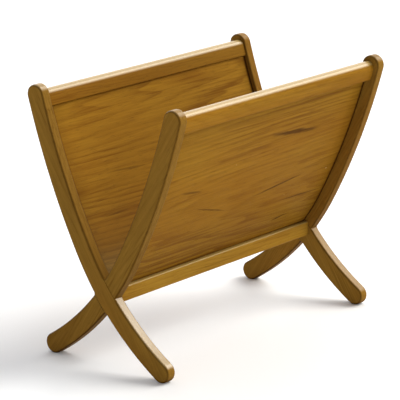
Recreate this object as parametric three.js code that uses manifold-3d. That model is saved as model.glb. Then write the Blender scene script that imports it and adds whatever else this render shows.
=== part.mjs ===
// Magazine rack in solid teak: two identical curved frames cross like an X and
// are joined by one stretcher along the crossing.
//
// Millimetres, +Z up, +X along the length, origin on the floor under the middle.
// Each frame is two scimitar legs, a bullnosed top rail and a curved panel.
// The front frame is the back frame turned half a turn about Z.
import * as THREE from 'three';
import * as BufferGeometryUtils from 'three/addons/utils/BufferGeometryUtils.js';
import Module from 'manifold-3d';

const wasm = await Module();
wasm.setup();

// ---------------------------------------------------------------------------
// Driving dimensions
// ---------------------------------------------------------------------------
const RACK_LENGTH = 500; // outer face to outer face of the legs, along X
const RACK_HEIGHT = 419; // floor to the top of the leg heads
const HEAD_SPREAD = 271.4; // middle of a front head to middle of a back head
const FOOT_SPREAD = 217; // middle of a front foot to middle of a back foot
// The bow of a leg, against the straight line from its head to its foot:
const HEAD_STEEPER = THREE.MathUtils.degToRad(16.10); // steeper at its head
const KNEE_STEEPER = THREE.MathUtils.degToRad(3.54); // where its two arcs meet
const FOOT_FLATTER = THREE.MathUtils.degToRad(25.70); // flatter at its foot

const LEG_WIDTH = 32; // across the curve
const LEG_THICKNESS = 18; // along X
const ARRIS = 3.5; // rounding of the long edges of a leg
const LAP_ARRIS = 0.6; // eased edge where two legs are halved together
const FOOT_FLAT = 0.8; // how much of the round foot is planed flat

const RAIL_HEIGHT = 28; // crest to underside of a top rail
const RAIL_BELOW_HEAD = 9.7; // the leg head stands this far above the crest
const RAIL_OUTER_RECESS = 7.5; // rail face behind the leg's outer edge
const RAIL_INNER_RECESS = 2.5; // rail face behind the leg's inner edge
const RAIL_ARRIS = 1.6; // eased lower edges of a top rail

const PANEL_THICKNESS = 8;
const PANEL_BEHIND_RAIL = 3.5; // panel behind the rail's inner face
const PANEL_IN_RAIL = 5; // how far the panel enters the rail
const PANEL_IN_LEG = 5; // how deep the leg's groove is
const TONGUE_ABOVE_CROSSING = 6; // the panel's end tongues stop this high

const STRETCHER_HEIGHT = 24;
const STRETCHER_BEARING = 4; // its upper edges reach this far past the crossing
const STRETCHER_ARRIS = 3;
const STRETCHER_GROOVE = 4; // depth of the groove that takes both panels

const DOWEL_DIAMETER = 6;
const DOWEL_LENGTH = 27;
const DOWEL_IN_LEG = 12.5;
const RAIL_DOWEL_PITCH = 10;
const STRETCHER_DOWEL_PITCH = 16;

const FIT = 0.3; // clearance in every joint
const UPPER_STEPS = 14; // facets on the upper arc of a leg
const LOWER_STEPS = 18; // facets on its lower arc
const ROUND_STEPS = 10; // facets on a half circle

// ---------------------------------------------------------------------------
// The leg's middle line: two tangent arcs seen from the side. A lean is the
// angle from straight down, growing toward the foot; the back leg starts high
// at +Y and runs down to -Y. The two radii are the ones that take the line from
// the head to the foot through the three leans.
// ---------------------------------------------------------------------------
const head = { y: HEAD_SPREAD / 2, z: RACK_HEIGHT - LEG_WIDTH / 2 };
const foot = { y: -FOOT_SPREAD / 2, z: LEG_WIDTH / 2 - FOOT_FLAT };
const drop = head.z - foot.z;
const run = head.y - foot.y;
const straightLean = Math.atan2(run, drop);
const headLean = straightLean - HEAD_STEEPER;
const kneeLean = straightLean - KNEE_STEEPER;
const footLean = straightLean + FOOT_FLATTER;

const upperDrop = Math.sin(kneeLean) - Math.sin(headLean);
const lowerDrop = Math.sin(footLean) - Math.sin(kneeLean);
const upperRun = Math.cos(headLean) - Math.cos(kneeLean);
const lowerRun = Math.cos(kneeLean) - Math.cos(footLean);
const cross = upperDrop * lowerRun - lowerDrop * upperRun;
const upperRadius = (drop * lowerRun - run * lowerDrop) / cross;
const lowerRadius = (run * upperDrop - drop * upperRun) / cross;
const upperCentre = {
  y: head.y - upperRadius * Math.cos(headLean),
  z: head.z + upperRadius * Math.sin(headLean),
};
const lowerCentre = {
  y: foot.y - lowerRadius * Math.cos(footLean),
  z: foot.z + lowerRadius * Math.sin(footLean),
};

// A point on the upper or lower arc, moved outward (convex side) by "out".
function onUpper(lean, out) {
  const r = upperRadius + out;
  return new THREE.Vector2(upperCentre.y + r * Math.cos(lean), upperCentre.z - r * Math.sin(lean));
}

function onLower(lean, out) {
  const r = lowerRadius + out;
  return new THREE.Vector2(lowerCentre.y + r * Math.cos(lean), lowerCentre.z - r * Math.sin(lean));
}

// Height at which the line "out" beside the middle line reaches y.
function heightAt(y, out) {
  const r = lowerRadius + out;
  const lean = Math.acos((y - lowerCentre.y) / r);
  return lowerCentre.z - r * Math.sin(lean);
}

// How far out from the middle plane that line is at height z.
function reachAt(z, out) {
  const r = lowerRadius + out;
  const lean = Math.asin((lowerCentre.z - z) / r);
  return lowerCentre.y + r * Math.cos(lean);
}

// Points down the curve from "start" (length below the head's middle) to the
// foot's middle, beside the middle line by "out".
function curvePoints(start, out) {
  const points = [];
  const first = headLean + start / upperRadius;
  for (let i = 0; i < UPPER_STEPS; i += 1) {
    points.push(onUpper(first + ((kneeLean - first) * i) / UPPER_STEPS, out));
  }
  for (let i = 0; i <= LOWER_STEPS; i += 1) {
    points.push(onLower(kneeLean + ((footLean - kneeLean) * i) / LOWER_STEPS, out));
  }
  return points;
}

// ---------------------------------------------------------------------------
// Solids
// ---------------------------------------------------------------------------
function toSolid(geometry) {
  const bare = geometry.index ? geometry.toNonIndexed() : geometry.clone();
  bare.deleteAttribute('normal');
  bare.deleteAttribute('uv');
  const merged = BufferGeometryUtils.mergeVertices(bare, 1e-4);
  const vertProperties = new Float32Array(merged.attributes.position.array);
  const triVerts = new Uint32Array(merged.index.array);
  return new wasm.Manifold(new wasm.Mesh({ numProp: 3, vertProperties, triVerts }));
}

function toGeometry(solid) {
  const { vertProperties, triVerts } = solid.getMesh();
  const geometry = new THREE.BufferGeometry();
  geometry.setAttribute('position', new THREE.BufferAttribute(new Float32Array(vertProperties), 3));
  geometry.setIndex(new THREE.BufferAttribute(new Uint32Array(triVerts), 1));
  geometry.computeVertexNormals();
  return geometry;
}

// Turns a shape drawn in (y, z) into a bar along X from x0 to x1, its long
// edges rounded by "edge".
const drawnToWorld = new THREE.Matrix4().makeBasis(
  new THREE.Vector3(0, 1, 0),
  new THREE.Vector3(0, 0, 1),
  new THREE.Vector3(1, 0, 0),
);

function bar(points, x0, x1, edge = 0, edgeSteps = 2) {
  const geometry = new THREE.ExtrudeGeometry(new THREE.Shape(points), {
    depth: x1 - x0 - 2 * edge,
    steps: 1,
    bevelEnabled: edge > 0,
    bevelThickness: edge,
    bevelSize: edge,
    bevelOffset: -edge,
    bevelSegments: edgeSteps,
  });
  geometry.translate(0, 0, x0 + edge);
  geometry.applyMatrix4(drawnToWorld);
  return toSolid(geometry);
}

function pin(radius, x0, x1, y, z) {
  const geometry = new THREE.CylinderGeometry(radius, radius, x1 - x0, 16);
  geometry.rotateZ(-Math.PI / 2);
  geometry.translate((x0 + x1) / 2, y, z);
  return toSolid(geometry);
}

function box(x0, x1, y0, y1, z0, z1) {
  const geometry = new THREE.BoxGeometry(x1 - x0, y1 - y0, z1 - z0);
  geometry.translate((x0 + x1) / 2, (y0 + y1) / 2, (z0 + z1) / 2);
  return toSolid(geometry);
}

const BIG = RACK_LENGTH + RACK_HEIGHT; // larger than the rack, for cutters
const PAST = 1; // how far a cutter runs past a face

// Outline of a leg from the side, half as wide as "half" to each side of the
// middle line, with a round head and a round foot. side = -1 mirrors it.
function legOutline(half, side = 1) {
  const outer = curvePoints(0, half);
  const inner = curvePoints(0, -half).reverse();
  const points = [...outer];
  for (let i = 1; i < ROUND_STEPS; i += 1) {
    const turn = -footLean - (Math.PI * i) / ROUND_STEPS;
    points.push(new THREE.Vector2(foot.y + half * Math.cos(turn), foot.z + half * Math.sin(turn)));
  }
  points.push(...inner);
  for (let i = 1; i < ROUND_STEPS; i += 1) {
    const turn = Math.PI - headLean - (Math.PI * i) / ROUND_STEPS;
    points.push(new THREE.Vector2(head.y + half * Math.cos(turn), head.z + half * Math.sin(turn)));
  }
  return points.map((p) => new THREE.Vector2(side * p.x, p.y));
}

// ---------------------------------------------------------------------------
// Where things sit
// ---------------------------------------------------------------------------
const half = LEG_WIDTH / 2;
const crossingZ = heightAt(0, 0);
const innerX = RACK_LENGTH / 2 - LEG_THICKNESS; // inner face of the right legs
const pieceHalf = innerX - FIT; // half length of a piece between the legs

const railOut = half - RAIL_OUTER_RECESS;
const railIn = RAIL_INNER_RECESS - half;
const railCrest = half - RAIL_BELOW_HEAD;
const railUnder = railCrest - RAIL_HEIGHT;

const panelIn = railIn + PANEL_BEHIND_RAIL;
const panelOut = panelIn + PANEL_THICKNESS;
const panelStart = -railUnder - PANEL_IN_RAIL;

const stretcherTop = crossingZ + STRETCHER_HEIGHT / 2;
const stretcherFloor = stretcherTop - STRETCHER_GROOVE;
const stretcherHalf = STRETCHER_BEARING - reachAt(stretcherTop, -half); // half its depth
const tongueEnd = heightAt(0, -half) + TONGUE_ABOVE_CROSSING;

// A point at the head in the leg's own directions: out from the middle line
// and up along the leg.
function atHead(out, up) {
  return new THREE.Vector2(
    head.y + out * Math.cos(headLean) + up * Math.sin(headLean),
    head.z - out * Math.sin(headLean) + up * Math.cos(headLean),
  );
}

// The dowels of a rail sit midway between its crest and the roof of its groove.
const railMiddle = (railOut + railIn) / 2;
const railDowelMiddle = (railCrest + railUnder + PANEL_IN_RAIL + FIT) / 2;
const dowels = {
  upper: atHead(railMiddle, railDowelMiddle + RAIL_DOWEL_PITCH / 2),
  lower: atHead(railMiddle, railDowelMiddle - RAIL_DOWEL_PITCH / 2),
};

// Section of the curved panel, fuller by "extra" all round, cut off at "low".
function panelSection(extra, low, x0, x1) {
  const outer = curvePoints(panelStart - extra, panelOut + extra);
  const inner = curvePoints(panelStart - extra, panelIn - extra).reverse();
  const whole = bar([...outer, ...inner], x0, x1);
  const below = box(-BIG, BIG, -BIG, BIG, -BIG, low - extra);
  return whole.subtract(below);
}

// ---------------------------------------------------------------------------
// Leg of the back frame. inward = +1 for the left leg, whose inner face looks
// toward +X, and -1 for the right leg. At the crossing it keeps the half of
// its thickness toward -X.
// ---------------------------------------------------------------------------
function legSolid(inward) {
  const t = LEG_THICKNESS / 2;
  const rounded = bar(legOutline(half), -t, t, ARRIS, 3);
  const crisp = bar(legOutline(half), -t, t, LAP_ARRIS, 1);
  const crossingZone = bar(legOutline(half, -1), -t - PAST, t + PAST);
  let leg = rounded.add(crisp.intersect(crossingZone));

  const lap = bar(legOutline(half + FIT, -1), -FIT / 2, t + PAST);
  leg = leg.subtract(lap);

  const face = inward * t;
  const grooveX = [face - inward * PANEL_IN_LEG, face + inward * PAST].sort((a, b) => a - b);
  leg = leg.subtract(panelSection(FIT, tongueEnd, grooveX[0], grooveX[1]));

  const holeX = [face - inward * (DOWEL_IN_LEG + FIT), face + inward * PAST].sort((a, b) => a - b);
  const holeRadius = DOWEL_DIAMETER / 2 + FIT;
  const pitch = STRETCHER_DOWEL_PITCH / 2;
  leg = leg.subtract(pin(holeRadius, holeX[0], holeX[1], dowels.upper.x, dowels.upper.y));
  leg = leg.subtract(pin(holeRadius, holeX[0], holeX[1], dowels.lower.x, dowels.lower.y));
  leg = leg.subtract(pin(holeRadius, holeX[0], holeX[1], pitch, crossingZ));
  leg = leg.subtract(pin(holeRadius, holeX[0], holeX[1], -pitch, crossingZ));

  return leg.subtract(box(-BIG, BIG, -BIG, BIG, -BIG, 0));
}

// Top rail: flat faces, a full round along the top, eased lower edges, a
// groove underneath for the panel and two dowel holes in each end.
function topRailSolid() {
  const points = [];
  const r = (railOut - railIn) / 2;
  for (let i = 0; i <= ROUND_STEPS; i += 1) {
    const turn = (Math.PI * i) / ROUND_STEPS;
    points.push(atHead(railMiddle + r * Math.cos(turn), railCrest - r + r * Math.sin(turn)));
  }
  const ease = RAIL_ARRIS;
  for (let i = 0; i <= 2; i += 1) {
    const turn = Math.PI + (Math.PI * i) / 4;
    points.push(atHead(railIn + ease + ease * Math.cos(turn), railUnder + ease + ease * Math.sin(turn)));
  }
  for (let i = 0; i <= 2; i += 1) {
    const turn = Math.PI * 1.5 + (Math.PI * i) / 4;
    points.push(atHead(railOut - ease + ease * Math.cos(turn), railUnder + ease + ease * Math.sin(turn)));
  }
  let rail = bar(points, -pieceHalf, pieceHalf);
  rail = rail.subtract(panelSection(FIT, tongueEnd, -BIG, BIG));

  const holeRadius = DOWEL_DIAMETER / 2 + FIT;
  const depth = DOWEL_LENGTH - DOWEL_IN_LEG + FIT;
  for (const spot of [dowels.upper, dowels.lower]) {
    rail = rail.subtract(pin(holeRadius, innerX - depth, innerX + PAST, spot.x, spot.y));
    rail = rail.subtract(pin(holeRadius, -innerX - PAST, -innerX + depth, spot.x, spot.y));
  }
  return rail;
}

// Curved panel: the full width between the legs down to the stretcher, with a
// tongue in each leg that stops above the crossing. Its lower edge is planed
// upright so that the two panels meet along the middle of the rack.
function panelSolid() {
  const body = panelSection(0, stretcherFloor + FIT, -pieceHalf, pieceHalf);
  const reach = innerX + PANEL_IN_LEG - FIT;
  const tongues = panelSection(0, tongueEnd, -reach, reach);
  const otherSide = box(-BIG, BIG, -BIG, FIT / 2, -BIG, BIG);
  return body.add(tongues).subtract(otherSide);
}

// Stretcher: a rounded bar through the middle of the crossing, grooved on top
// for both panels and dowelled into the halved legs at each end.
function stretcherSolid() {
  const points = [];
  const y = stretcherHalf - STRETCHER_ARRIS;
  const z = STRETCHER_HEIGHT / 2 - STRETCHER_ARRIS;
  for (const [sy, sz, from] of [[1, 1, 0], [-1, 1, 1], [-1, -1, 2], [1, -1, 3]]) {
    for (let i = 0; i <= 3; i += 1) {
      const turn = (from + i / 3) * (Math.PI / 2);
      points.push(new THREE.Vector2(
        sy * y + STRETCHER_ARRIS * Math.cos(turn),
        crossingZ + sz * z + STRETCHER_ARRIS * Math.sin(turn),
      ));
    }
  }
  let stretcher = bar(points, -pieceHalf, pieceHalf);
  const slot = reachAt(stretcherTop, panelOut) + FIT;
  stretcher = stretcher.subtract(box(-BIG, BIG, -slot, slot, stretcherFloor, BIG));

  const holeRadius = DOWEL_DIAMETER / 2 + FIT;
  const depth = DOWEL_LENGTH - DOWEL_IN_LEG + FIT;
  for (const side of [-1, 1]) {
    const spot = (side * STRETCHER_DOWEL_PITCH) / 2;
    stretcher = stretcher.subtract(pin(holeRadius, innerX - depth, innerX + PAST, spot, crossingZ));
    stretcher = stretcher.subtract(pin(holeRadius, -innerX - PAST, -innerX + depth, spot, crossingZ));
  }
  return stretcher;
}

// ---------------------------------------------------------------------------
// Scene graph
// ---------------------------------------------------------------------------
function piece(name, geometry, color, roughness = 0.48) {
  const material = new THREE.MeshStandardMaterial({ color, roughness, metalness: 0 });
  material.name = `${name}_wood`;
  const mesh = new THREE.Mesh(geometry, material);
  mesh.name = name;
  return mesh;
}

const LEG_TEAK = 0x80602a;
const PANEL_TEAK = 0x926628;
const RAIL_TEAK = 0x9d7434;
const DOWEL_BEECH = 0xc9a36b;

const dowelGeometry = new THREE.CylinderGeometry(DOWEL_DIAMETER / 2, DOWEL_DIAMETER / 2, DOWEL_LENGTH, 16);

// A dowel lies along X and bridges a leg's inner face and the piece beside it.
function dowel(name, end, y, z) {
  const mesh = piece(name, dowelGeometry.clone(), DOWEL_BEECH, 0.7);
  mesh.rotation.z = Math.PI / 2;
  mesh.position.set(end * (innerX + DOWEL_IN_LEG - DOWEL_LENGTH / 2), y, z);
  return mesh;
}

// One frame; left and right are named as seen by somebody in front of the rack.
function frame(name, legLeft, legRight) {
  const group = new THREE.Group();
  const left = piece(`${name}_leg_${legLeft}`, toGeometry(legSolid(1)), LEG_TEAK);
  left.position.x = -(RACK_LENGTH - LEG_THICKNESS) / 2;
  const right = piece(`${name}_leg_${legRight}`, toGeometry(legSolid(-1)), LEG_TEAK);
  right.position.x = (RACK_LENGTH - LEG_THICKNESS) / 2;
  group.add(left, right);
  group.add(piece(`${name}_top_rail`, toGeometry(topRailSolid()), RAIL_TEAK));
  group.add(piece(`${name}_panel`, toGeometry(panelSolid()), PANEL_TEAK));
  for (const [end, side] of [[-1, legLeft], [1, legRight]]) {
    for (const level of ['upper', 'lower']) {
      const spot = dowels[level];
      group.add(dowel(`${name}_rail_dowel_${side}_${level}`, end, spot.x, spot.y));
    }
  }
  return group;
}

const rack = new THREE.Group();
rack.name = 'magazine_rack';

const backFrame = frame('back', 'left', 'right');
const frontFrame = frame('front', 'right', 'left');
frontFrame.rotation.z = Math.PI;
rack.add(backFrame, frontFrame);

rack.add(piece('stretcher', toGeometry(stretcherSolid()), RAIL_TEAK));
for (const [end, side] of [[-1, 'left'], [1, 'right']]) {
  for (const [sign, place] of [[-1, 'front'], [1, 'back']]) {
    const y = (sign * STRETCHER_DOWEL_PITCH) / 2;
    rack.add(dowel(`stretcher_dowel_${side}_${place}`, end, y, crossingZ));
  }
}

export default rack;
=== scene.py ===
# %% [markdown]
# # A teak magazine rack
# Two identical frames of solid teak cross like an X and hold magazines in the V
# between them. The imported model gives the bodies, and this lesson builds the
# surfaces that are seen: four sawn legs, two bullnosed rails, two curved panels
# and the stretcher, each from a formula, each with its own board of teak.

# %% Load the frame
import math

import bmesh
import bpy
import numpy as np
from mathutils import Matrix, Vector


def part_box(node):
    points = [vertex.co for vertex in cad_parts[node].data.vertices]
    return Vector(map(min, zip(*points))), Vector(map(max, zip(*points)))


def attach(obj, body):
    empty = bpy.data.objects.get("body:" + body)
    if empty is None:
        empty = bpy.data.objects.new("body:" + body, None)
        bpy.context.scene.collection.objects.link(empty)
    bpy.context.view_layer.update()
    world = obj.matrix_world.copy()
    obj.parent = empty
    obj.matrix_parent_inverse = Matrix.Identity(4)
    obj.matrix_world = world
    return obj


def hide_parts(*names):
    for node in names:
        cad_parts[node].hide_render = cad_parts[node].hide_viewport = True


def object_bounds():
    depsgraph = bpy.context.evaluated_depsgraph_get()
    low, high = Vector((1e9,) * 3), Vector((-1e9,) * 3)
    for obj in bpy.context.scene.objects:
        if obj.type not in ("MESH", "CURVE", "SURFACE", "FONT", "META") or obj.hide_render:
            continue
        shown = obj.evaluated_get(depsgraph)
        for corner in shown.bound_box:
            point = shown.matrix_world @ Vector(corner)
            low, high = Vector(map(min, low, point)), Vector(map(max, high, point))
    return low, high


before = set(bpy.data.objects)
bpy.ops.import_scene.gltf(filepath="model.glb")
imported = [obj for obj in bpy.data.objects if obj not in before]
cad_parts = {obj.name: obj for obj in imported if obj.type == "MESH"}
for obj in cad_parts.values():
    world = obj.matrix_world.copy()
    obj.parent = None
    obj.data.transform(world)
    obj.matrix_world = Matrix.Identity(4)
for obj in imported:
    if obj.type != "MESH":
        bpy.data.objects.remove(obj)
cad_low, cad_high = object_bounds()
print("frame:", len(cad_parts), "nodes,", [round(v, 4) for v in cad_high - cad_low], "m")

# %% [markdown]
# ## The camera
# The rack is seen from its left front corner and a little above. A long lens from
# three and a half metres keeps the far leg nearly as large as the near one. The
# camera is made first, because it says which faces need the most care. It is
# placed by where it aims and how it turns, which is easier to read than a matrix.
# Lens and sensor are in millimetres, as on a real camera, all the rest in metres.

# %% Camera
AIM = Vector((-0.0152, 0.0092, 0.2104))
CAMERA_AZIMUTH = math.radians(-49.87)
CAMERA_ELEVATION = math.radians(15.64)
CAMERA_ROLL = math.radians(-0.34)
CAMERA_DISTANCE = 3.634
CAMERA_LENS = 208.9
CAMERA_SENSOR = 36
CAMERA_REACH = 50


def looking_from(azimuth, elevation):
    """Unit vector toward a viewer: (sin a cos e, -cos a cos e, sin e)."""
    return Vector((
        math.sin(azimuth) * math.cos(elevation),
        -math.cos(azimuth) * math.cos(elevation),
        math.sin(elevation),
    ))


camera = bpy.data.objects.new("camera", bpy.data.cameras.new("camera"))
bpy.context.scene.collection.objects.link(camera)
bpy.context.scene.camera = camera
back = looking_from(CAMERA_AZIMUTH, CAMERA_ELEVATION)
camera.location = AIM + back * CAMERA_DISTANCE
turn = back.to_track_quat("Z", "Y").to_matrix() @ Matrix.Rotation(CAMERA_ROLL, 3, "Z")
camera.rotation_euler = turn.to_euler()
camera.data.lens = CAMERA_LENS
camera.data.sensor_width = CAMERA_SENSOR
camera.data.clip_end = CAMERA_REACH
print("camera:", [round(v, 3) for v in camera.location])

# %% [markdown]
# ## The curve that everything follows
# A leg's middle line is two tangent arcs, a flat one from the head to the knee and
# a tighter one from there to the foot. It could be a hand-drawn spline, but arcs
# are what a maker strikes on a template, and they give exact parallel lines: a
# point beside the middle line by "out" is on the same arc with a longer radius.
# The panel, its grooves and the rails all use those parallel lines.

# %% Sizes, in metres
LEG_WIDTH = 0.032
FOOT_SPREAD = 0.217
FOOT_FLAT = 0.0008
HEAD_STEEPER = math.radians(16.10)
KNEE_STEEPER = math.radians(3.54)
FOOT_FLATTER = math.radians(25.70)
FIT = 0.0003

RACK_LENGTH = cad_high.x - cad_low.x
RACK_HEIGHT = cad_high.z - cad_low.z
HEAD_SPREAD = cad_high.y - cad_low.y - LEG_WIDTH
leg_low, leg_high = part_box("back_leg_left")
LEG_THICKNESS = leg_high.x - leg_low.x
HALF = LEG_WIDTH / 2
INNER_X = RACK_LENGTH / 2 - LEG_THICKNESS
PIECE_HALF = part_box("back_top_rail")[1].x

# %% The two arcs
LEG_STEP = 0.002
PANEL_STEP = 0.003

head = np.array([HEAD_SPREAD / 2, RACK_HEIGHT - HALF])
foot = np.array([-FOOT_SPREAD / 2, HALF - FOOT_FLAT])
run, drop = head[0] - foot[0], head[1] - foot[1]
straight_lean = math.atan2(run, drop)
head_lean = straight_lean - HEAD_STEEPER
knee_lean = straight_lean - KNEE_STEEPER
foot_lean = straight_lean + FOOT_FLATTER

# Two unknown radii, two equations: the arcs' steps along Y and Z add up to run and drop.
steps = np.array([
    [math.cos(head_lean) - math.cos(knee_lean), math.cos(knee_lean) - math.cos(foot_lean)],
    [math.sin(knee_lean) - math.sin(head_lean), math.sin(foot_lean) - math.sin(knee_lean)],
])
upper_radius, lower_radius = np.linalg.solve(steps, [run, drop])
upper_centre = head - upper_radius * np.array([math.cos(head_lean), -math.sin(head_lean)])
lower_centre = foot - lower_radius * np.array([math.cos(foot_lean), -math.sin(foot_lean)])
print("radii:", round(upper_radius, 4), round(lower_radius, 4))


def leans(start=0.0, step=LEG_STEP):
    """Leans along the middle line, one every "step" of length, from "start" below the head."""
    first = head_lean + start / upper_radius
    upper = int(abs(knee_lean - first) * upper_radius / step)
    lower = int((foot_lean - knee_lean) * lower_radius / step)
    return np.concatenate([
        np.linspace(first, knee_lean, upper, endpoint=False),
        np.linspace(knee_lean, foot_lean, lower + 1),
    ])


def beside(lean, out):
    """Points on the leg curve: centre + (radius + out) (cos lean, -sin lean), as (y, z)."""
    lean, out = np.broadcast_arrays(lean, out)
    upper = lean < knee_lean
    radius = np.where(upper, upper_radius, lower_radius) + out
    centre = np.where(upper[..., None], upper_centre, lower_centre)
    return centre + radius[..., None] * np.stack([np.cos(lean), -np.sin(lean)], axis=-1)


def lean_at_y(y, out):
    """The lean at which the lower line "out" beside the middle reaches y: arccos((y - cy) / r)."""
    return math.acos((y - lower_centre[0]) / (lower_radius + out))


crossing_z = beside(lean_at_y(0, 0), 0)[1]
top_notch_z = beside(lean_at_y(0, -HALF), -HALF)[1]
print("legs cross at", round(float(crossing_z), 4), "m")

# %% [markdown]
# ## From arrays to meshes
# Every piece is a table of points: rows one way, columns the other, each four
# neighbours a face. The last column is joined to the first, because an outline is
# closed, and a row that shrinks to a line closes a side. The flat ends of a bar
# are one face each. Grooves and holes are cut with exact booleans, because a
# cutter is as easy to draw as the tool that a maker would use.

# %% Tables of points
SHARP_ANGLE = math.radians(32)
MERGE_DISTANCE = 1e-6  # points closer than a thousandth of a millimetre are one point
THINNEST = 1e-7  # and faces thinner than a tenth of that are closed up


def link(name, mesh):
    """Puts a mesh into the scene as an object at the origin."""
    made = bpy.data.objects.new(name, mesh)
    bpy.context.scene.collection.objects.link(made)
    return made


def table_faces(rows, columns):
    """Corner numbers of the quads of a table: (i, j), (i, j+1), (i+1, j+1), (i+1, j), where the
    column after the last is the first again."""
    i = np.arange(rows - 1)[:, None]
    j = np.arange(columns)[None, :]
    i2, j2 = i + 1, (j + 1) % columns
    corners = [i * columns + j, i * columns + j2, i2 * columns + j2, i2 * columns + j]
    return np.stack(np.broadcast_arrays(*corners), axis=-1).reshape(-1, 4)


def tidied(mesh):
    """Merges doubles, turns all faces outward and keeps edges crisp above SHARP_ANGLE."""
    work = bmesh.new()
    work.from_mesh(mesh)
    bmesh.ops.remove_doubles(work, verts=work.verts, dist=MERGE_DISTANCE)
    bmesh.ops.dissolve_degenerate(work, dist=THINNEST, edges=work.edges)
    bmesh.ops.recalc_face_normals(work, faces=work.faces)
    if work.calc_volume(signed=True) < 0:
        bmesh.ops.reverse_faces(work, faces=work.faces)
    work.to_mesh(mesh)
    work.free()
    mesh.polygons.foreach_set("use_smooth", np.ones(len(mesh.polygons), dtype=bool))
    mesh.set_sharp_from_angle(angle=SHARP_ANGLE)
    return mesh


# %% Bars
def bar(name, outline, places):
    """A closed outline (y, z) carried along X: P(i, j) = (places[i], outline[j])."""
    outline, places = np.asarray(outline), np.asarray(places)
    rows, columns = len(places), len(outline)
    points = np.empty((rows, columns, 3))
    points[:, :, 0] = places[:, None]
    points[:, :, 1:] = outline[None, :, :]
    faces = table_faces(rows, columns).tolist()
    faces += [list(range(columns)), list(range((rows - 1) * columns, rows * columns))]
    mesh = bpy.data.meshes.new(name)
    mesh.from_pydata(points.reshape(-1, 3).tolist(), [], faces)
    return tidied(mesh)


def ways(angle):
    """Unit directions in the side view: (cos a, sin a)."""
    return np.stack([np.cos(angle), np.sin(angle)], axis=-1)


def arc(centre, radius, first, last, count):
    """Points centre + radius (cos a, sin a) with a from first to last."""
    return np.asarray(centre) + radius * ways(np.linspace(first, last, count))


# %% Cutting
FAR = 1.0  # a metre, which is past every end of the rack
PAST = 0.001  # how far a cutter starts outside the face that it enters
PIN_SIDES = 40


def cut(mesh, cutters):
    """Takes each cutter mesh away from the mesh with exact booleans."""
    work = link("cutting", mesh)
    helpers = [link("cutter", cutter) for cutter in cutters]
    for helper in helpers:
        step = work.modifiers.new("cut", "BOOLEAN")
        step.operation = "DIFFERENCE"
        step.solver = "EXACT"
        step.object = helper
    graph = bpy.context.evaluated_depsgraph_get()
    result = bpy.data.meshes.new_from_object(work.evaluated_get(graph))
    for thing in [work, *helpers]:
        bpy.data.objects.remove(thing)
    return tidied(result)


def pin(y, z, radius, x0, x1):
    """A round hole's cutter along X: a bar with PIN_SIDES sides."""
    return bar("pin", arc((y, z), radius, 0, 2 * math.pi, PIN_SIDES + 1)[:-1], [x0, x1])


def block(x0, x1, y0, y1, z0, z1):
    """A plain box, as a cutter."""
    return bar("block", [(y0, z0), (y1, z0), (y1, z1), (y0, z1)], [x0, x1])


def below(z):
    """Everything below the height z, as a cutter."""
    return block(-FAR, FAR, -FAR, FAR, -FAR, z)


# %% [markdown]
# ## The places of rails, panels and dowels
# All are given beside the leg's middle line: "out" toward the convex side, and
# "up" along the leg at its head. A rail sits 7.5 mm behind the leg's outer edge,
# its crest 9.7 mm below the head, and the panel enters it from below.

# %% Places
RAIL_HEIGHT = 0.028
RAIL_BELOW_HEAD = 0.0097
RAIL_OUTER_RECESS = 0.0075
RAIL_INNER_RECESS = 0.0025
PANEL_THICKNESS = 0.008
PANEL_BEHIND_RAIL = 0.0035
PANEL_IN_RAIL = 0.005
PANEL_IN_LEG = 0.005
TONGUE_ABOVE_CROSSING = 0.006
DOWEL_RADIUS = 0.003
DOWEL_IN_LEG = 0.0125
DOWEL_LENGTH = 0.027
RAIL_DOWELS = ["back_rail_dowel_left_upper", "back_rail_dowel_left_lower"]
STRETCHER_DOWELS = ["stretcher_dowel_left_front", "stretcher_dowel_left_back"]

rail_out = HALF - RAIL_OUTER_RECESS
rail_in = RAIL_INNER_RECESS - HALF
rail_crest = HALF - RAIL_BELOW_HEAD
rail_under = rail_crest - RAIL_HEIGHT
panel_in = rail_in + PANEL_BEHIND_RAIL
panel_out = panel_in + PANEL_THICKNESS
panel_start = -rail_under - PANEL_IN_RAIL
tongue_end = top_notch_z + TONGUE_ABOVE_CROSSING


def at_head(out, up):
    """(y, z) beside the head: head + out (cos l, -sin l) + up (sin l, cos l)."""
    across = np.array([math.cos(head_lean), -math.sin(head_lean)])
    along = np.array([math.sin(head_lean), math.cos(head_lean)])
    return head + np.multiply.outer(out, across) + np.multiply.outer(up, along)


def node_middle(name):
    """(y, z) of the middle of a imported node, such as a dowel."""
    low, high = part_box(name)
    return (low.y + high.y) / 2, (low.z + high.z) / 2


def panel_outline(extra=0.0):
    """The curved board from the side: its outer line down and its inner line up."""
    lean = leans(panel_start - extra, PANEL_STEP)
    outer = beside(lean, panel_out + extra)
    inner = beside(lean, panel_in - extra)
    return np.concatenate([outer, inner[::-1]])


# %% [markdown]
# ## A leg
# The real leg is sawn from an 18 mm board, its long edges rounded with a router,
# and halved where it crosses its twin. It could be a curve with a bevel profile,
# but its round ends and its easing at the joint would be hard to control. Here
# it is a fat line: each point is the middle line's point plus k times the half
# width toward the outline. k grows from 0 in the middle of one flat face to 1 on
# the narrow face and back to 0 on the other, along a quarter round at each edge.
# The rounding shrinks to a fine V edge inside the halved joint, as on the real one.

# %% Leg outline
ARRIS = 0.0035
LAP_ARRIS = 0.0013
ARRIS_FADE = 0.0030
LAP_ZONE = 0.6  # the legs meet below this share of the head's height
END_STEPS = 36
ROUND_STEPS = 7
CREASE = 0.0004  # a close second row of points, which keeps an edge crisp when shaded


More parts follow.
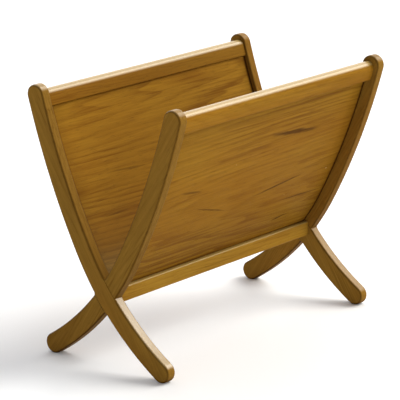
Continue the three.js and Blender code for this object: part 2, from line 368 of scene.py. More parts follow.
def leg_loop():
    """Once around a leg, down its convex side, round the foot, up again and round the head:
    points on the middle line, and unit directions from them toward the outline."""
    lean = leans()
    outward = np.stack([np.cos(lean), -np.sin(lean)], axis=-1)
    middle = beside(lean, 0.0)
    sole = -foot_lean - math.pi * np.arange(1, END_STEPS) / END_STEPS
    crown = math.pi - head_lean - math.pi * np.arange(1, END_STEPS) / END_STEPS
    middles = [middle, np.tile(foot, (len(sole), 1)), middle[::-1], np.tile(head, (len(crown), 1))]
    directions = [outward, ways(sole), -outward[::-1], ways(crown)]
    return np.concatenate(middles), np.concatenate(directions)


def outside_twin(points):
    """Distance of (y, z) points outside the other leg of the cross: | |p' - c| - r | - half,
    where p' is the point mirrored in the middle plane. Negative inside that leg."""
    mirrored = points * np.array([-1, 1])
    return np.abs(np.linalg.norm(mirrored - lower_centre, axis=-1) - lower_radius) - HALF


# %% Leg surface
def leg_surface(name, side):
    """The whole leg as a table, rows through the thickness and columns around the outline:
    P = middle + k half_width way, with k and x walking over the two faces and the edge. The
    rounding fades by the smooth step t t (3 - 2 t), t being the distance from the twin leg."""
    middle, way = leg_loop()
    outline = middle + HALF * way
    fade = np.clip(outside_twin(outline) / ARRIS_FADE, 0, 1)
    low = outline[:, 1] < head[1] * LAP_ZONE
    fade = np.where(low, fade * fade * (3 - 2 * fade), 1.0)
    radius = LAP_ARRIS + (ARRIS - LAP_ARRIS) * fade
    half_x = LEG_THICKNESS / 2

    turn = np.linspace(0, math.pi / 2, ROUND_STEPS)[:, None]
    inset = radius * (1 - np.sin(turn))
    across = half_x - radius * (1 - np.cos(turn))
    flat_in = [np.full_like(radius, HALF), np.full_like(radius, HALF * 0.5), radius + CREASE]
    flat_x = [np.full_like(radius, half_x)] * 3
    inset = np.vstack([*flat_in, inset, np.zeros_like(radius)])
    across = np.vstack([*flat_x, across, across[-1] - CREASE])
    inset = np.vstack([inset, inset[::-1]])
    across = np.vstack([across, -across[::-1]])

    points = np.empty((*inset.shape, 3))
    points[:, :, 0] = across + side * (RACK_LENGTH - LEG_THICKNESS) / 2
    points[:, :, 1:] = middle + (HALF - inset)[..., None] * way
    mesh = bpy.data.meshes.new(name)
    faces = table_faces(*inset.shape)
    mesh.from_pydata(points.reshape(-1, 3).tolist(), [], faces.tolist())
    return tidied(mesh)


# %% Leg joints
def lap_cutter(middle_x):
    """The twin leg as a plain bar, a hair wider, from the leg's middle plane toward +X."""
    middle, way = leg_loop()
    outline = (middle + (HALF + FIT) * way) * np.array([-1, 1])
    return bar("lap", outline, [middle_x - FIT / 2, middle_x + LEG_THICKNESS])


def leg(name, side):
    """A back leg: side is -1 on the left and +1 on the right. The inner face looks to -side."""
    middle_x = side * (RACK_LENGTH - LEG_THICKNESS) / 2
    inner = side * INNER_X
    cutters = [lap_cutter(middle_x)]
    groove = sorted([inner + side * PANEL_IN_LEG, inner - side * PAST])
    cutters.append(cut(bar("groove", panel_outline(FIT), groove), [below(tongue_end - FIT)]))
    hole = sorted([inner + side * (DOWEL_IN_LEG + FIT), inner - side * PAST])
    for dowel in RAIL_DOWELS + STRETCHER_DOWELS:
        cutters.append(pin(*node_middle(dowel), DOWEL_RADIUS + FIT, *hole))
    cutters.append(below(0))
    return cut(leg_surface(name, side), cutters)


# %% [markdown]
# ## Rails, panels and stretcher
# Each of these is a board run through a moulder: one outline carried straight
# along X. A rail's outline is a half circle over two flat faces with eased lower
# edges. The groove is cut with the panel's own outline, a hair larger, so that the
# panel always fits it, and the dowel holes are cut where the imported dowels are.

# %% Ends of the boards
def stations(low, high):
    """Places along X: both ends, each with a close second one that keeps its edge crisp."""
    return [low, low + CREASE, high - CREASE, high]


def end_holes(dowels):
    """Cutters for the dowel holes in both ends of a rail or of the stretcher."""
    depth = DOWEL_LENGTH - DOWEL_IN_LEG + FIT
    holes = []
    for dowel in dowels:
        spot = node_middle(dowel)
        holes.append(pin(*spot, DOWEL_RADIUS + FIT, INNER_X - depth, INNER_X + PAST))
        holes.append(pin(*spot, DOWEL_RADIUS + FIT, -INNER_X - PAST, -INNER_X + depth))
    return holes


# %% Rail
RAIL_ARRIS = 0.0016
CROWN_POINTS = 41
ARRIS_POINTS = 7


def rail(name):
    """Bullnose rail: half circle of radius (out - in) / 2 on top, quarter rounds below."""
    radius = (rail_out - rail_in) / 2
    middle = (rail_out + rail_in) / 2
    level = rail_under + RAIL_ARRIS
    crown = arc((middle, rail_crest - radius), radius, 0, math.pi, CROWN_POINTS)
    inner = arc((rail_in + RAIL_ARRIS, level), RAIL_ARRIS, math.pi, 1.5 * math.pi, ARRIS_POINTS)
    outer = arc((rail_out - RAIL_ARRIS, level), RAIL_ARRIS, -math.pi / 2, 0, ARRIS_POINTS)
    local = np.concatenate([crown, inner, outer])
    whole = bar(name, at_head(local[:, 0], local[:, 1]), stations(-PIECE_HALF, PIECE_HALF))
    groove = bar("groove", panel_outline(FIT), [-FAR, FAR])
    return cut(whole, [groove, *end_holes(RAIL_DOWELS)])


# %% Panel
def panel(name):
    """The curved board between the legs, with a tongue in each leg above the crossing and a
    lower edge planed upright beside the other panel."""
    low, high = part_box("back_panel")
    whole = bar(name, panel_outline(), stations(low.x, high.x))
    cutters = [
        block(-FAR, FAR, -FAR, low.y, -FAR, FAR),
        below(low.z),
        block(-FAR, -PIECE_HALF, -FAR, FAR, -FAR, tongue_end),
        block(PIECE_HALF, FAR, -FAR, FAR, -FAR, tongue_end),
    ]
    return cut(whole, cutters)


# %% Stretcher
STRETCHER_ARRIS = 0.003
STRETCHER_GROOVE = 0.004
CORNER_POINTS = 9


def stretcher(name):
    """A rounded bar: a quarter round at each corner, and the groove for both panels on top."""
    low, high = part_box("stretcher")
    arris = STRETCHER_ARRIS
    centres = [
        (high.y - arris, high.z - arris),
        (low.y + arris, high.z - arris),
        (low.y + arris, low.z + arris),
        (high.y - arris, low.z + arris),
    ]
    outline = []
    for quarter, centre in enumerate(centres):
        first, last = quarter * math.pi / 2, (quarter + 1) * math.pi / 2
        outline.append(arc(centre, arris, first, last, CORNER_POINTS))
    whole = bar(name, np.concatenate(outline), stations(-PIECE_HALF, PIECE_HALF))
    top_lean = math.asin((lower_centre[1] - high.z) / (lower_radius + panel_out))
    slot = beside(top_lean, panel_out)[0] + FIT
    groove = block(-FAR, FAR, -slot, slot, high.z - STRETCHER_GROOVE, FAR)
    return cut(whole, [groove, *end_holes(STRETCHER_DOWELS)])


# %% [markdown]
# ## Setting the pieces in place
# The front frame is the back frame turned half a turn about the upright axis, so
# each mesh is made once for the back and a turned copy serves the front. The turn
# goes into the mesh, and every object stays at the origin.

# %% Assembly
def half_turn(mesh, name):
    """A copy of a mesh turned by 180 degrees about Z: (x, y, z) becomes (-x, -y, z)."""
    turned = mesh.copy()
    turned.name = name
    turned.transform(Matrix.Rotation(math.pi, 4, "Z"))
    return turned


def place(name, mesh, node):
    """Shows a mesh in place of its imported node, riding on the one body."""
    made = link(name, mesh)
    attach(made, "root")
    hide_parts(node)
    return made


pieces = {}
leg_meshes = {"left": leg("leg_left", -1), "right": leg("leg_right", 1)}
other = {"left": "right", "right": "left"}
for side, mesh in leg_meshes.items():
    pieces[f"back_leg_{side}"] = place(f"back_leg_{side}_sawn", mesh, f"back_leg_{side}")
    front = f"front_leg_{other[side]}"
    pieces[front] = place(f"{front}_sawn", half_turn(mesh, front), front)

boards = [("top_rail", rail("rail"), "rail_teak"), ("panel", panel("panel"), "panel_teak")]
for what, mesh, slot in boards:
    pieces[f"back_{what}"] = place(f"back_{what}_board", mesh, f"back_{what}")
    front = f"front_{what}"
    pieces[front] = place(f"{front}_board", half_turn(mesh, front), front)

pieces["stretcher"] = place("stretcher_bar", stretcher("stretcher"), "stretcher")
for name, piece in pieces.items():
    print(name, len(piece.data.polygons), "faces")

# %% [markdown]
# ## Shader maths in plain Python
# A wire is a socket of a node. Adding or multiplying wires adds the Math nodes,
# so a formula for growth rings reads like the formula itself. A sheet is the node
# tree of one finish, and its method "node" adds any other kind of node.

# %% Wires
class Wire:
    """A socket that takes part in sums; a number or another wire may stand on either side."""

    def __init__(self, sheet, socket):
        self.sheet = sheet
        self.socket = socket

    def maths(self, operation, *values):
        """Adds a Math node on values that may be wires or numbers."""
        return self.sheet.node("Math", {"operation": operation}, dict(enumerate(values)))

    def __add__(self, other):
        return self.maths("ADD", self, other)

    def __sub__(self, other):
        return self.maths("SUBTRACT", self, other)

    def __mul__(self, other):
        return self.maths("MULTIPLY", self, other)

    def __truediv__(self, other):
        return self.maths("DIVIDE", self, other)

    def __pow__(self, other):
        return self.maths("POWER", self, other)

    def __rsub__(self, other):
        return self.maths("SUBTRACT", other, self)

    __radd__ = __add__
    __rmul__ = __mul__


# %% Sheets
# A Mix node has sockets of the same name for numbers, vectors and colours, so the
# ones for colours are told by their place.
MIX_FACTOR, MIX_FIRST, MIX_SECOND = 0, 6, 7
MIX_COLOUR = 2


class Sheet:
    """The node tree of one finish."""

    def __init__(self, tree):
        self.tree = tree
        tree.nodes.clear()

    def node(self, kind, settings=None, sockets=None, output=0):
        """Adds a node: its settings first, then values or wires into its sockets."""
        made = self.tree.nodes.new("ShaderNode" + kind)
        for key, value in (settings or {}).items():
            setattr(made, key, value)
        for key, value in (sockets or {}).items():
            if isinstance(value, Wire):
                self.tree.links.new(value.socket, made.inputs[key])
            else:
                made.inputs[key].default_value = value
        return Wire(self, made.outputs[output])

    def part(self, vector, axis):
        """One of the three numbers of a vector."""
        return self.node("SeparateXYZ", None, {"Vector": vector}, axis)

    def ramp(self, value, start, end):
        """0 at start, 1 at end and a smooth step between; start may be the larger of the two."""
        limits = {"Value": value, "From Min": start, "From Max": end}
        return self.node("MapRange", {"interpolation_type": "SMOOTHSTEP"}, limits)

    def blend(self, amount, first, second):
        """Mixes two colours: the first where amount is 0, the second where it is 1."""
        colours = {MIX_FACTOR: amount, MIX_FIRST: first, MIX_SECOND: second}
        return self.node("Mix", {"data_type": "RGBA"}, colours, MIX_COLOUR)

    def clamp(self, value):
        """Keeps a value between 0 and 1."""
        return self.node("Clamp", None, {"Value": value})

    def show(self, kind, shader):
        """Ends the tree: its shader goes to the output of a material or of the world."""
        end = self.tree.nodes.new("ShaderNode" + kind)
        self.tree.links.new(shader.socket, end.inputs["Surface"])


# %% [markdown]
# ## A board of teak
# A board is a slice of a trunk, so its figure is where its face cuts the growth
# rings. The trunk's axis runs almost along the board, a little to one side and a
# little askew, and the distance from that axis, divided by the ring width, counts
# rings. Where the face runs tangent to the rings they open into the tall arches
# that carpenters call cathedrals. An image could not follow all faces of a piece;
# a formula in space does, so end grain and edges agree with the faces.
#
# Noise stretched along the grain makes the rest: bands, threads and fibres that
# darken the wood, thin lines that follow the figure, short dark pores, mineral
# streaks, and patches where the rings show more or the wood is warmer.

# %% Layers of noise
# Waves per metre along and across the grain, octaves, their roughness, and a shift
# that keeps two layers of one board apart.
LAYERS = {
    "drift": (3.0, 12.0, 2.0, 0.5, 0.0),
    "sway": (6.0, 30.0, 2.0, 0.5, 7.0),
    "spacing": (1.2, 38.0, 2.0, 0.5, 13.0),
    "patches": (5.0, 22.0, 2.0, 0.5, 17.0),
    "bands": (3.0, 75.0, 3.0, 0.6, 2.0),
    "threads": (6.0, 300.0, 3.0, 0.65, 11.0),
    "fibres": (22.0, 900.0, 2.0, 0.6, 3.0),
    "lines": (3.5, 110.0, 2.0, 0.55, 61.0),
    "clouds": (4.0, 11.0, 2.0, 0.5, 31.0),
    "warmth": (3.0, 9.0, 2.0, 0.5, 53.0),
    "pores": (60.0, 1500.0, 1.0, 0.5, 5.0),
    "streaks": (6.0, 70.0, 3.0, 0.6, 23.0),
    "ragged": (30.0, 220.0, 2.0, 0.6, 41.0),
}
PORE_LIMITS = (0.10, 0.22)


class Board(Sheet):
    """The node tree of one board: x runs along its grain, y and z across, height is upright."""

    def __init__(self, name, turn, seed):
        self.material = bpy.data.materials.new(name)
        self.material.use_nodes = True
        super().__init__(self.material.node_tree)
        self.seed = seed
        plain = self.node("TexCoord", output="Object")
        board_space = self.node("Mapping", {"vector_type": "POINT"}, {"Vector": plain, "Rotation": turn})
        self.x = self.part(board_space, "X")
        self.y = self.part(board_space, "Y")
        self.z = self.part(board_space, "Z")
        self.height = self.part(plain, "Z")
        facing = self.node("TexCoord", output="Normal")
        self.side = self.part(facing, "X")
        self.upward = self.part(facing, "Z")
        self.threads = self.noise("threads")
        self.fibres = self.noise("fibres")
        self.ragged = self.noise("ragged")
        self.pores = self.ramp(self.noise("pores"), *PORE_LIMITS)

    def noise(self, layer):
        """Noise stretched as LAYERS says; its value is centred on 0."""
        along, across, octaves, rough, shift = LAYERS[layer]
        stretched = {
            "X": self.x * along + self.seed + shift,
            "Y": self.y * across,
            "Z": self.z * across + self.seed,
        }
        where = self.node("CombineXYZ", None, stretched)
        sockets = {"Vector": where, "Scale": 1.0, "Detail": octaves, "Roughness": rough}
        return self.node("TexNoise", None, sockets) - 0.5


print("layers of noise:", ", ".join(LAYERS))

# %% Growth rings
DRIFT_ASIDE = (0.030, 0.022)  # how far the trunk's axis wanders in y and z, in metres
SWAY_RINGS = 0.8
SPACING_RINGS = 3.0
RING_DARKENS = (0.35, 0.92)
RING_ENDS = (0.92, 1.0)
RING_MIDDLE = 0.3


def growth_rings(board, pith, ring):
    """The distance from the pith in ring widths, of which the fraction says where in a ring a
    point is: pale at first, dark toward the end, then pale again at once."""
    drift = board.noise("drift")
    off_y = board.y - pith[0] + board.x * pith[2] + drift * DRIFT_ASIDE[0]
    off_z = board.z - pith[1] + board.x * pith[3] + drift * DRIFT_ASIDE[1]
    unevenness = board.noise("sway") * SWAY_RINGS + board.noise("spacing") * SPACING_RINGS
    distance = (off_y * off_y + off_z * off_z) ** 0.5 + unevenness * ring
    phase = board.node("Math", {"operation": "FRACT"}, {0: distance / ring})
    return board.ramp(phase, *RING_DARKENS) * (1 - board.ramp(phase, *RING_ENDS)) - RING_MIDDLE


# %% Figure
PATCH_LIMITS = (-0.16, 0.16)
AGED_FIGURE_FROM, AGED_FIGURE_TO = 0.14, 0.02  # heights above the crossing
AGED_FIGURE = 0.8
RINGS_EVERYWHERE = 0.35
BAND_SHARE = 0.60
THREAD_SHARE = 0.95
FIBRE_SHARE = 0.60
CLOUD_SHARE = 0.6
LINE_LIMITS = (0.045, 0.0)
LINE_SHARE = 0.42
MIDDLE_SHADE = 0.42


def figure_shade(board, pith, ring, figure, aged):
    """How dark the wood is, from 0 for early wood to 1 for late wood: rings, which show more in
    patches, plus bands, threads, fibres and clouds, plus thin lines where a noise crosses 0."""
    rings = growth_rings(board, pith, ring)
    patchy = board.ramp(board.noise("patches"), *PATCH_LIMITS)
    if aged:
        low_down = board.ramp(board.height, crossing_z + AGED_FIGURE_FROM, crossing_z + AGED_FIGURE_TO)
        patchy = patchy + low_down * AGED_FIGURE
    contour = board.noise("lines")
    lines = board.ramp((contour * contour) ** 0.5, *LINE_LIMITS) * patchy
    shade = rings * figure * (RINGS_EVERYWHERE + patchy) + board.noise("bands") * BAND_SHARE
    shade = shade + board.threads * THREAD_SHARE + board.fibres * FIBRE_SHARE
    shade = shade + board.noise("clouds") * CLOUD_SHARE + lines * LINE_SHARE
    return board.clamp(shade + MIDDLE_SHADE)


# %% [markdown]
# ## Stains, painted shade and painted highlights
# Pores and mineral streaks are the tree's own, and a few large streaks have their
# own place, as on a chosen board. The panels get painted shade: they darken in the
# corners beside the legs, near their ends and low down between the panels. The
# rounded edges of the legs are darker, and their undersides get painted shade.
# Whatever looks up has a clear coat of wax and is painted toward straw as a
# painted highlight, and everything else is satin. Small pale nicks show where
# something hard has struck.

# %% Stains and painted shade
PORE_STAIN = 0.35
STREAK_LIMITS = (0.16, 0.34)
STREAK_STAIN = 0.40
MARK_RAGGED = 1.6
MARK_LIMITS = (1.0, 0.05)
# Painted shade on a panel, darker toward its lower edge.
PAINTED_SHADE_ABOVE = 0.17  # a panel darkens from this height above the crossing down
# Painted shade on a panel in the corners beside the legs, and fainter near its ends.
CORNER_FROM, CORNER_TO, CORNER_SHADE = 0.0065, 0.001, 0.85
BORDER_FROM, BORDER_SHADE = 0.035, 0.20
# Painted shade on the undersides of the legs.
UNDERSIDE_LIMITS = (-0.25, -0.70)
UNDERSIDE_SHADE = 0.50


def stains_and_shade(board, marks, painted_low_shade, arris):
    """How far the wood turns to umber: pores, streaks and marks, darker rounded edges on legs, and
    painted shade on panels and on the undersides of legs. A mark is where (along / reach) squared
    plus (across / thickness) squared is below 1. An edge rounded between two flat faces has a
    sideways slope s strictly between 0 and 1, so 4 s^2 (1 - s^2) is 1 on its middle and 0 on both faces."""
    streaks = board.ramp(board.noise("streaks"), *STREAK_LIMITS)
    stain_and_shade = board.pores * PORE_STAIN + streaks * STREAK_STAIN
    for mark_x, mark_z, slope, reach, thickness, strength in marks:
        along = (board.x - mark_x) / reach
        beside_mark = board.height - mark_z - (board.x - mark_x) * slope
        across = beside_mark / thickness + board.ragged * MARK_RAGGED
        stain_and_shade = stain_and_shade + board.ramp(along * along + across * across, *MARK_LIMITS) * strength
    if painted_low_shade is not None:
        # Painted shade, darker toward the panel's lower edge.
        stain_and_shade = stain_and_shade + board.ramp(board.height, crossing_z + PAINTED_SHADE_ABOVE, crossing_z) * painted_low_shade
        # Painted shade in the corners beside the legs and near the panel's ends.
        from_end = PIECE_HALF - (board.x * board.x) ** 0.5
        corner = board.ramp(from_end, CORNER_FROM, CORNER_TO) * CORNER_SHADE
        stain_and_shade = stain_and_shade + corner + board.ramp(from_end, BORDER_FROM, 0.0) * BORDER_SHADE
    if arris:
        rounded = board.side * board.side * (1 - board.side * board.side) * 4
        # Painted shade on the undersides of the legs.
        underside_shade = board.ramp(board.upward, *UNDERSIDE_LIMITS)
        stain_and_shade = stain_and_shade + rounded * arris + underside_shade * UNDERSIDE_SHADE
    return board.clamp(stain_and_shade)


# %% Nicks, wax and painted highlight
NICK_FLATNESS = 0.45
NICK_LIMITS = (1.0, 0.2)
NICK_PALENESS = 0.6
# One mask for the wax coat and the painted straw highlight: faces that look up, on a leg only below the
# crossing and on the head.
WAX_LIMITS = (0.40, 0.75)
LOW_LEG = 0.02  # the wax on a leg starts at the crossing and fades over this height above it
HEAD_WAX_FROM, HEAD_WAX_TO, HEAD_WAX = 0.03, 0.01, 0.6  # below the top of the rack


def nicked(board, colour, nicks, straw):
    """Lays small pale ovals into a colour."""
    for nick_x, nick_z, size in nicks:
        along = (board.x - nick_x) / size
        across = (board.height - nick_z + board.ragged * size) / (size * NICK_FLATNESS)
        nick = board.ramp(along * along + across * across, *NICK_LIMITS)
        colour = board.blend(nick * NICK_PALENESS, colour, straw)
    return colour


def wax_and_highlight_on(board, polish_and_highlight, is_leg):
    """Wax coat and painted straw highlight where the surface looks up; on a leg, only below the crossing and
    on the head.
    """
    wax_and_highlight = board.ramp(board.upward, *WAX_LIMITS) * polish_and_highlight
    if is_leg:
        low = board.ramp(board.height, crossing_z + LOW_LEG, crossing_z)
        crown = board.ramp(board.height, RACK_HEIGHT - HEAD_WAX_FROM, RACK_HEIGHT - HEAD_WAX_TO)
        wax_and_highlight = wax_and_highlight * (low + crown * HEAD_WAX)
    return wax_and_highlight


# %% Teak
# Pale straw, the colour of the nicks and of the painted highlight on faces that look up.
STRAW = (212, 190, 124)
RUSSET_OF_LIGHT = (0.93, 0.80, 0.62)
# Umber, for the stains and for the painted shade.
UMBER_OF_DARK = (0.60, 0.53, 0.48)
WARM_LIMITS = (-0.12, 0.20)
RUSSET_SHARE = 0.32
SATIN, SATIN_FIBRES, SATIN_PORES = 0.48, 0.12, 0.10
BUMP_FIBRES, BUMP_PORES, BUMP_THREADS = 0.35, 0.8, 0.5
BUMP_STRENGTH, BUMP_DEPTH = 0.35, 0.0003
OILED_IOR = 1.08  # oil in open grain hardly mirrors, so a low index keeps the faces deep
OILED_TINT = (1.0, 0.78, 0.42, 1)
WAX_ROUGHNESS, WAX_IOR = 0.27, 1.55


def linear(colour):
    """0-255 screen colour to scene-linear with full alpha, by the sRGB curve: c / 12.92 in the
    darks and ((c + 0.055) / 1.055) to the power 2.4 above."""
    c = np.asarray(colour) / 255
    curve = np.where(c <= 0.04045, c / 12.92, ((c + 0.055) / 1.055) ** 2.4)
    return (*(float(v) for v in curve), 1)


def teak(name, turn, pith, light, dark, seed, ring=0.0045, figure=0.30, polish_and_highlight=0.7,
         painted_highlight=0.48, arris=0.0, painted_low_shade=None, marks=(), nicks=()):
    """One board: "turn" takes object space to board space (grain along x), "pith" is the
    trunk's axis beside the board (y, z) with its slopes along x, and light and dark are the
    colours of early and late wood. "ring" is the ring width, "figure" how much the rings show.
    The polishing strength sets the waxed coat on faces that look up, and with the highlight
    strength how far those faces are painted toward straw, a painted highlight. Only legs have
    "arris", how much the rounded edges darken, and only panels get painted shade, darker toward
    the lower edge by the given amount and in the corners and near the ends beside the legs.
    "marks" are a board's own mineral streaks."""
    board = Board(name, turn, seed)
    straw = linear(STRAW)
    russet = linear(np.asarray(light) * RUSSET_OF_LIGHT)
    umber = linear(np.asarray(dark) * UMBER_OF_DARK)

    shade = figure_shade(board, pith, ring, figure, painted_low_shade is not None)
    colour = board.blend(shade, linear(light), linear(dark))
    warmth = board.ramp(board.noise("warmth"), *WARM_LIMITS)
    colour = board.blend(warmth * RUSSET_SHARE, colour, russet)
    # Stains and painted shade.
    colour = board.blend(stains_and_shade(board, marks, painted_low_shade, arris), colour, umber)
    colour = nicked(board, colour, nicks, straw)
    wax_and_highlight = wax_and_highlight_on(board, polish_and_highlight, is_leg=bool(arris))
    # Painted highlight: faces that look up are painted toward straw.
    colour = board.blend(wax_and_highlight * painted_highlight, colour, straw)

    grain = board.fibres * BUMP_FIBRES - board.pores * BUMP_PORES + board.threads * BUMP_THREADS
    bump = {"Strength": BUMP_STRENGTH, "Distance": BUMP_DEPTH, "Height": grain}
    shader = board.node("BsdfPrincipled", None, {
        "Base Color": colour,
        "Roughness": SATIN + board.fibres * SATIN_FIBRES + board.pores * SATIN_PORES,
        "Normal": board.node("Bump", None, bump),
        "IOR": OILED_IOR,
        "Specular Tint": OILED_TINT,
        "Coat Weight": wax_and_highlight,
        "Coat Roughness": WAX_ROUGHNESS,
        "Coat IOR": WAX_IOR,
    })
    board.show("OutputMaterial", shader)
    return board.material


# %% [markdown]
# ## A board for each piece
# No two pieces come from the same place in the tree, so each has its own seed, and
# the rings lie differently in legs, rails and panels. The legs are a cooler brown
# than the panels, the back rail has the rail's colours made darker as painted
# shade, and the stretcher is the most golden. The dowels are plain beech.

# %% Colours
LEG_LIGHT, LEG_DARK = (147, 110, 43), (111, 77, 25)
PANEL_LIGHT, PANEL_DARK = (155, 113, 32), (116, 75, 17)
RAIL_LIGHT, RAIL_DARK = (156, 114, 33), (124, 82, 19)
# The back rail's colours: the rail's made darker, as painted shade.
SHADY_LIGHT, SHADY_DARK = (144, 103, 31), (110, 72, 18)
GOLDEN_LIGHT, GOLDEN_DARK = (166, 127, 44), (130, 92, 28)
BEECH_LIGHT, BEECH_DARK = (226, 190, 142), (200, 158, 106)
NO_TURN = (0, 0, 0)

# %% Legs
LEG_PITH = (0.35, 0.30, 0.02, 0.03)
LEG_FIGURE = 0.16
# How far the legs' faces that look up are painted toward straw, a painted highlight.
LEG_PAINTED_HIGHLIGHT = 0.22
# How much the rounded edges of the legs darken.
LEG_ARRIS_DARKENING = 0.60
# Seed of each leg, and the strength of its wax coat and painted straw highlight, which differs from leg to
# leg as painted light.
LEG_BOARDS = {
    "back_leg_left": (3.7, 1.0),
    "front_leg_left": (8.8, 0.6),
    "front_leg_right": (13.9, 0.5),
    "back_leg_right": (19.0, 0.3),
}


def along_leg(name):
    """Turns object space so that x runs down the leg's straight line and y across its faces."""
    toward_foot = -1 if name.startswith("back") else 1
    grain = Vector((0, toward_foot * math.sin(straight_lean), -math.cos(straight_lean)))
    face = Vector((1, 0, 0))
    return Matrix((grain, face, grain.cross(face))).to_euler()


for name, (seed, polish_and_highlight) in LEG_BOARDS.items():
    finish = teak(f"{name}_teak", along_leg(name), LEG_PITH, LEG_LIGHT, LEG_DARK, seed,
                  figure=LEG_FIGURE, polish_and_highlight=polish_and_highlight, painted_highlight=LEG_PAINTED_HIGHLIGHT, arris=LEG_ARRIS_DARKENING)
    pieces[name].data.materials.append(finish)
    print(finish.name, len(finish.node_tree.nodes), "nodes")

# %% Panels
WIDE_RING = 0.0085
# Each mark: x and height of its middle, slope, half its length, half its thickness, strength.
FRONT_MARKS = [
    (0.078, 0.321, -0.09, 0.070, 0.0046, 0.80),
    (0.085, 0.226, 0.12, 0.070, 0.0022, 0.70),
    (-0.145, 0.266, -0.14, 0.028, 0.0028, 0.58),
    (-0.077, 0.221, -0.26, 0.050, 0.0018, 0.55),
    (0.139, 0.156, 0.11, 0.026, 0.0022, 0.60),
    (0.162, 0.191, -0.02, 0.072, 0.0013, 0.55),
]
BACK_MARKS = [
    (-0.110, 0.270, -0.05, 0.050, 0.0020, 0.40),
    (0.060, 0.315, -0.06, 0.070, 0.0030, 0.50),
    (-0.160, 0.215, 0.04, 0.030, 0.0018, 0.40),
]
# Each nick: x and height of its middle, half its length.
FRONT_NICKS = [(0.210, 0.229, 0.0024), (-0.052, 0.292, 0.0012), (0.118, 0.201, 0.0010)]
# Seed, pith, figure, painted shade toward the lower edge, marks and nicks of each panel.
PANEL_BOARDS = {
    "back_panel": (24.6, (0.02, 0.42, 0.10, 0.05), 0.42, 0.05, BACK_MARKS, ()),
    "front_panel": (31.0, (0.0, 0.24, 0.06, 0.03), 0.34, 0.26, FRONT_MARKS, FRONT_NICKS),
}
for name, (seed, pith, figure, painted_low_shade, marks, nicks) in PANEL_BOARDS.items():
    finish = teak(f"{name}_teak", NO_TURN, pith, PANEL_LIGHT, PANEL_DARK, seed,
                  ring=WIDE_RING, figure=figure, painted_low_shade=painted_low_shade, marks=marks, nicks=nicks)
    pieces[name].data.materials.append(finish)
    print(finish.name, len(finish.node_tree.nodes), "nodes")

# %% Rails and stretcher
RAIL_PITH = (0.1, 0.5, 0.02, 0.03)
RAIL_FIGURE = 0.22
# The rails' wax coat and the painted straw highlight on their crests.
RAIL_POLISH_AND_HIGHLIGHT = 0.75
FIRST_RAIL_SEED, NEXT_RAIL_SEED = 47.9, 6.3
RAIL_COLOURS = {
    "back_top_rail": (SHADY_LIGHT, SHADY_DARK),
    "front_top_rail": (RAIL_LIGHT, RAIL_DARK),
    "stretcher": (GOLDEN_LIGHT, GOLDEN_DARK),
}
for index, (name, (light, dark)) in enumerate(RAIL_COLOURS.items()):
    seed = FIRST_RAIL_SEED + NEXT_RAIL_SEED * index
    finish = teak(f"{name}_teak", NO_TURN, RAIL_PITH, light, dark, seed,
                  figure=RAIL_FIGURE, polish_and_highlight=RAIL_POLISH_AND_HIGHLIGHT)
    pieces[name].data.materials.append(finish)
    print(finish.name, len(finish.node_tree.nodes), "nodes")

# %% Dowels
BEECH_PITH = (0.02, 0.02, 0.01, 0.0)
BEECH_SEED = 77.0
beech = teak("dowel_beech", NO_TURN, BEECH_PITH, BEECH_LIGHT, BEECH_DARK, BEECH_SEED, polish_and_highlight=0.0)
dowels = [node for name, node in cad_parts.items() if "dowel" in name]
for dowel in dowels:
    dowel.data.materials.clear()
    dowel.data.materials.append(beech)
print(len(dowels), "dowels of beech")

# %% [markdown]
# ## Floor and light
# The rack stands on a plain pale floor in a white studio. One broad and distant
# light, as wide as a wall of windows, comes from the right and a little behind, so
# it grazes the panels and brightens the crests. The world gives the rest: a bright
# backdrop opposite the camera, which the heads and crests catch, a weak glow from
# the front, and a faint light from everywhere. The side where the viewer stands
# stays dimmer, which keeps the rounded edges of the near legs dark and warm.

# %% Floor
FLOOR_HALF = 12.0
FLOOR_COLOUR = (0.84, 0.85, 0.87, 1)
FLOOR_ROUGHNESS = 0.8

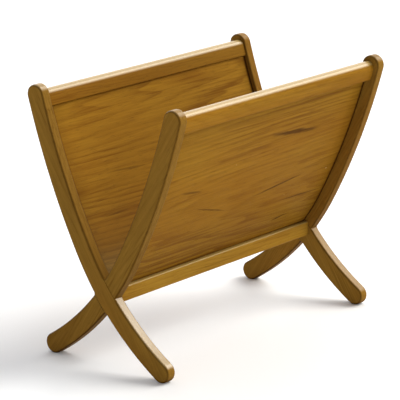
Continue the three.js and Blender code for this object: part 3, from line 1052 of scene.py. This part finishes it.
floor_mesh = bpy.data.meshes.new("floor")
floor_corners = [(x * FLOOR_HALF, y * FLOOR_HALF, 0) for x, y in [(-1, -1), (1, -1), (1, 1), (-1, 1)]]
floor_mesh.from_pydata(floor_corners, [], [(0, 1, 2, 3)])
floor = link("floor", floor_mesh)
paint = bpy.data.materials.new("floor_paint")
paint.use_nodes = True
paint_shader = paint.node_tree.nodes["Principled BSDF"]
paint_shader.inputs["Base Color"].default_value = FLOOR_COLOUR
paint_shader.inputs["Roughness"].default_value = FLOOR_ROUGHNESS
floor_mesh.materials.append(paint)
print("floor:", 2 * FLOOR_HALF, "m square")

# %% Key light
KEY_AZIMUTH = math.radians(64)
KEY_ELEVATION = math.radians(39)
KEY_WIDTH = math.radians(44)
KEY_STRENGTH = 3.3
KEY_COLOUR = (1.0, 0.97, 0.90)

lamp = bpy.data.lights.new("key", "SUN")
lamp.angle = KEY_WIDTH
lamp.color = KEY_COLOUR
lamp.energy = KEY_STRENGTH
key = bpy.data.objects.new("key", lamp)
bpy.context.scene.collection.objects.link(key)
key.rotation_euler = looking_from(KEY_AZIMUTH, KEY_ELEVATION).to_track_quat("Z", "Y").to_euler()
print("key light from", [round(v, 3) for v in looking_from(KEY_AZIMUTH, KEY_ELEVATION)])

# %% Studio
WHITE = (1, 1, 1, 1)
BACKDROP_ELEVATION = math.radians(-15)
BACKDROP_LIMITS, BACKDROP_STRENGTH = (0.2, 0.97), 1.9
FRONT_AZIMUTH, FRONT_ELEVATION = 0.2, 0.25
FRONT_LIMITS, FRONT_STRENGTH = (0.1, 1.0), 0.35
EVERYWHERE_STRENGTH = 0.30

world = bpy.data.worlds.new("studio")
bpy.context.scene.world = world
world.use_nodes = True
studio = Sheet(world.node_tree)
direction = studio.node("TexCoord", output="Generated")


def glow(toward, limits, strength):
    """A soft patch of light, around the direction "toward", that fades between two cosines."""
    near = studio.node("VectorMath", {"operation": "DOT_PRODUCT"}, {0: direction, 1: tuple(toward)}, "Value")
    return studio.ramp(near, *limits) * strength


backdrop_glow = glow(-looking_from(CAMERA_AZIMUTH, BACKDROP_ELEVATION), BACKDROP_LIMITS, BACKDROP_STRENGTH)
front_glow = glow(looking_from(FRONT_AZIMUTH, FRONT_ELEVATION), FRONT_LIMITS, FRONT_STRENGTH)
total = backdrop_glow + front_glow + EVERYWHERE_STRENGTH
light_all_round = studio.node("Background", None, {"Color": WHITE, "Strength": total})
studio.show("OutputWorld", light_all_round)

bpy.context.scene.view_settings.view_transform = "Standard"
bpy.context.scene.view_settings.look = "None"
print("studio:", len(world.node_tree.nodes), "nodes")
